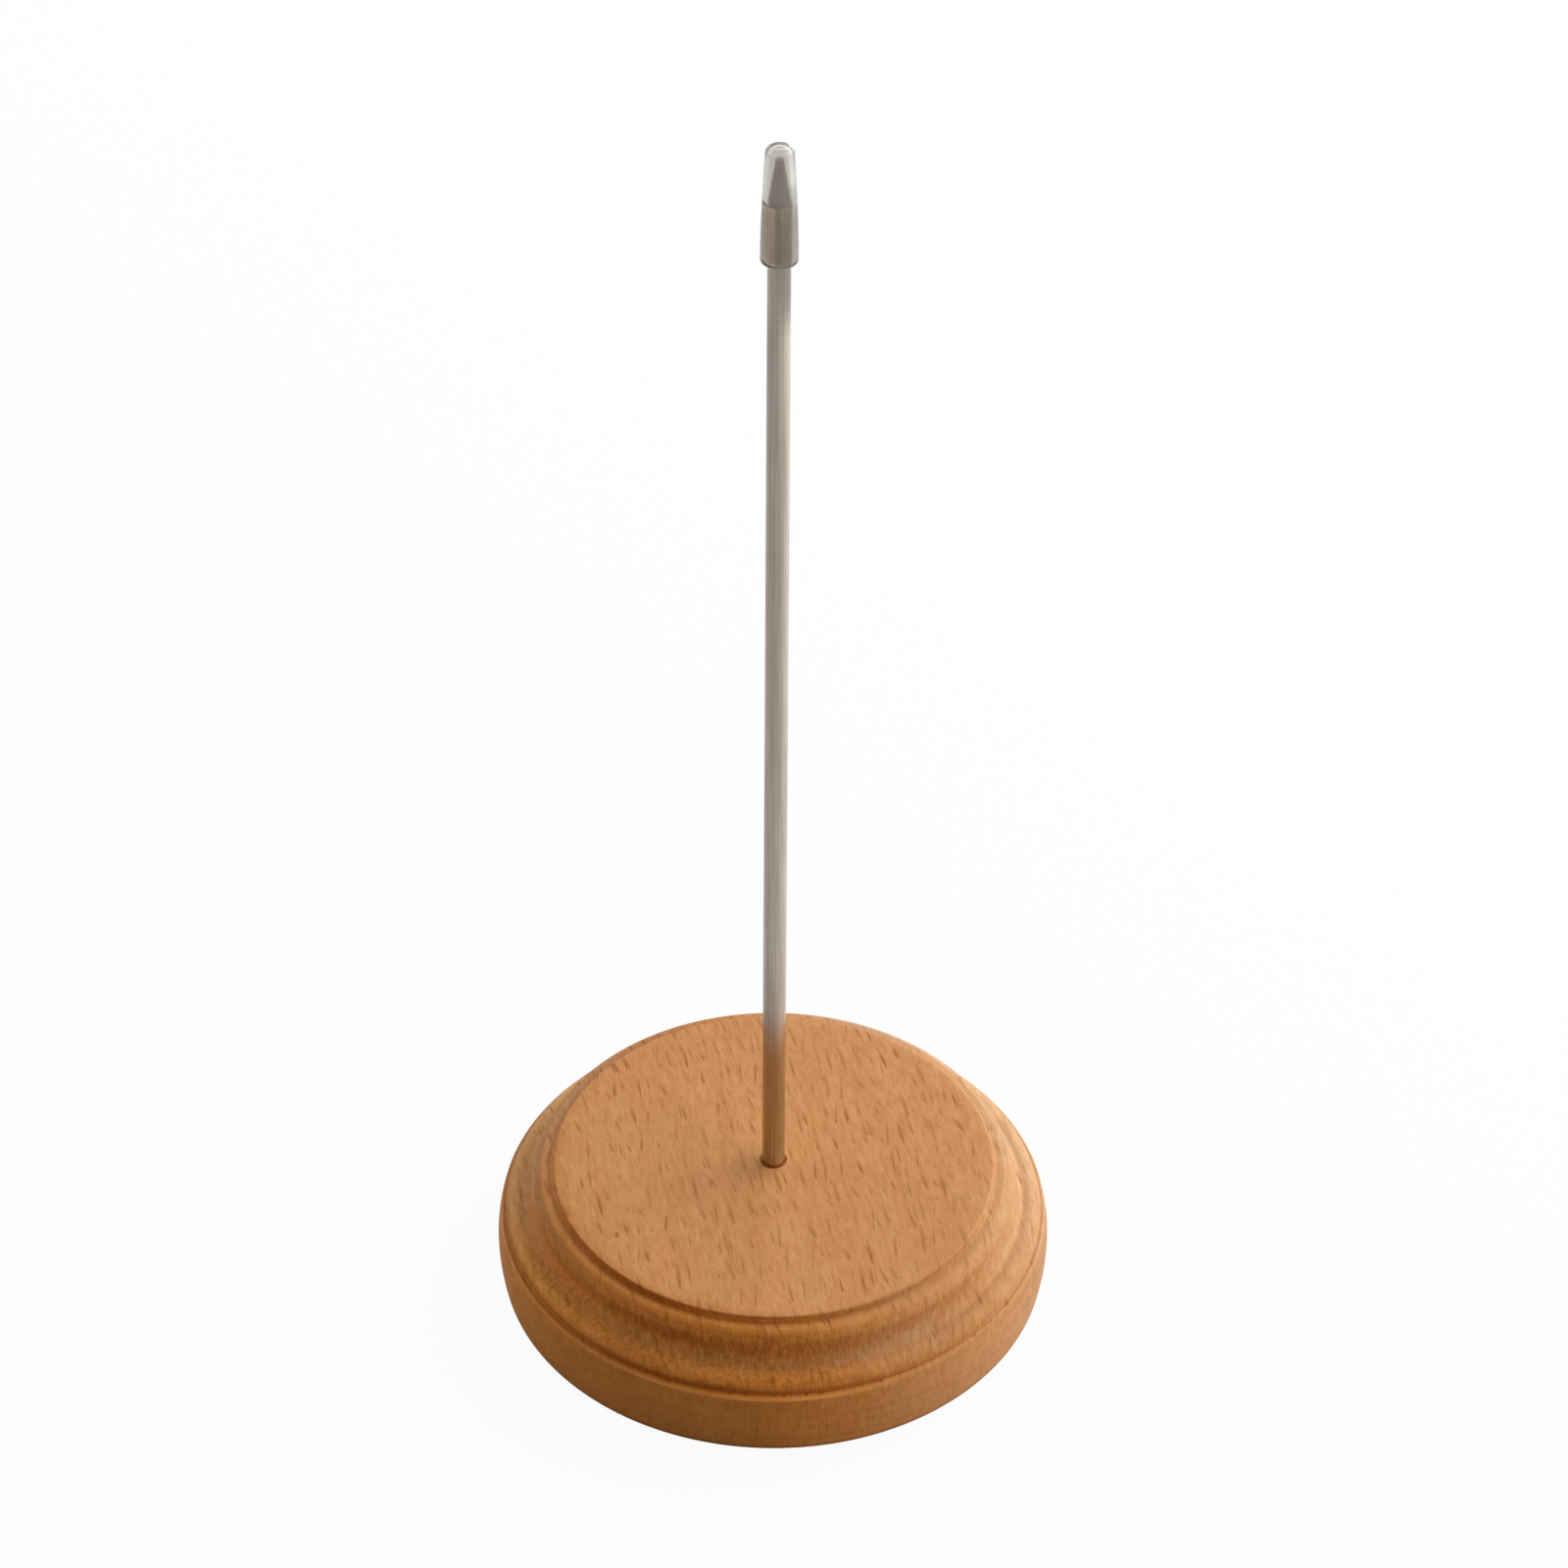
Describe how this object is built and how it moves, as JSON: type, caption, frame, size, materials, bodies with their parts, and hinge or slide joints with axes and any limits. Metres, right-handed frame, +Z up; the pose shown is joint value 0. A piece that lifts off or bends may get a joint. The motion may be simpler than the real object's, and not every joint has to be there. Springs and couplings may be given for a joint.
{
  "type": "bill spike",
  "caption": "Desk bill spike: round turned wooden base with a moulded edge, upright tapered steel spike with a blunt point, and a clear push-on cap over the tip.",
  "frame": {"origin": "middle of the felt pad's lower face, on the surface that the object stands on", "axes": "+Z up along the spike; the part is round about Z, so X and Y are free"},
  "size_m": [0.09, 0.09, 0.2024],
  "materials": {
    "beech": "oiled, satin",
    "spike_steel": "drawn, satin",
    "zinc_steel": "zinc plated",
    "felt": "pressed wool felt",
    "clear_plastic": "clear, soft gloss"
  },
  "bodies": {
    "stand": {"base": "beech", "spike": "spike_steel", "tee_nut": "zinc_steel", "lock_nut": "zinc_steel", "felt_pad": "felt"},
    "cap": {"tip_cap": "clear_plastic"}
  },
  "joints": [
    {"name": "cap_pull", "type": "slide", "parent": "stand", "child": "cap", "axis": [0, 0, 1], "range_m": [0, 0.03]}
  ]
}
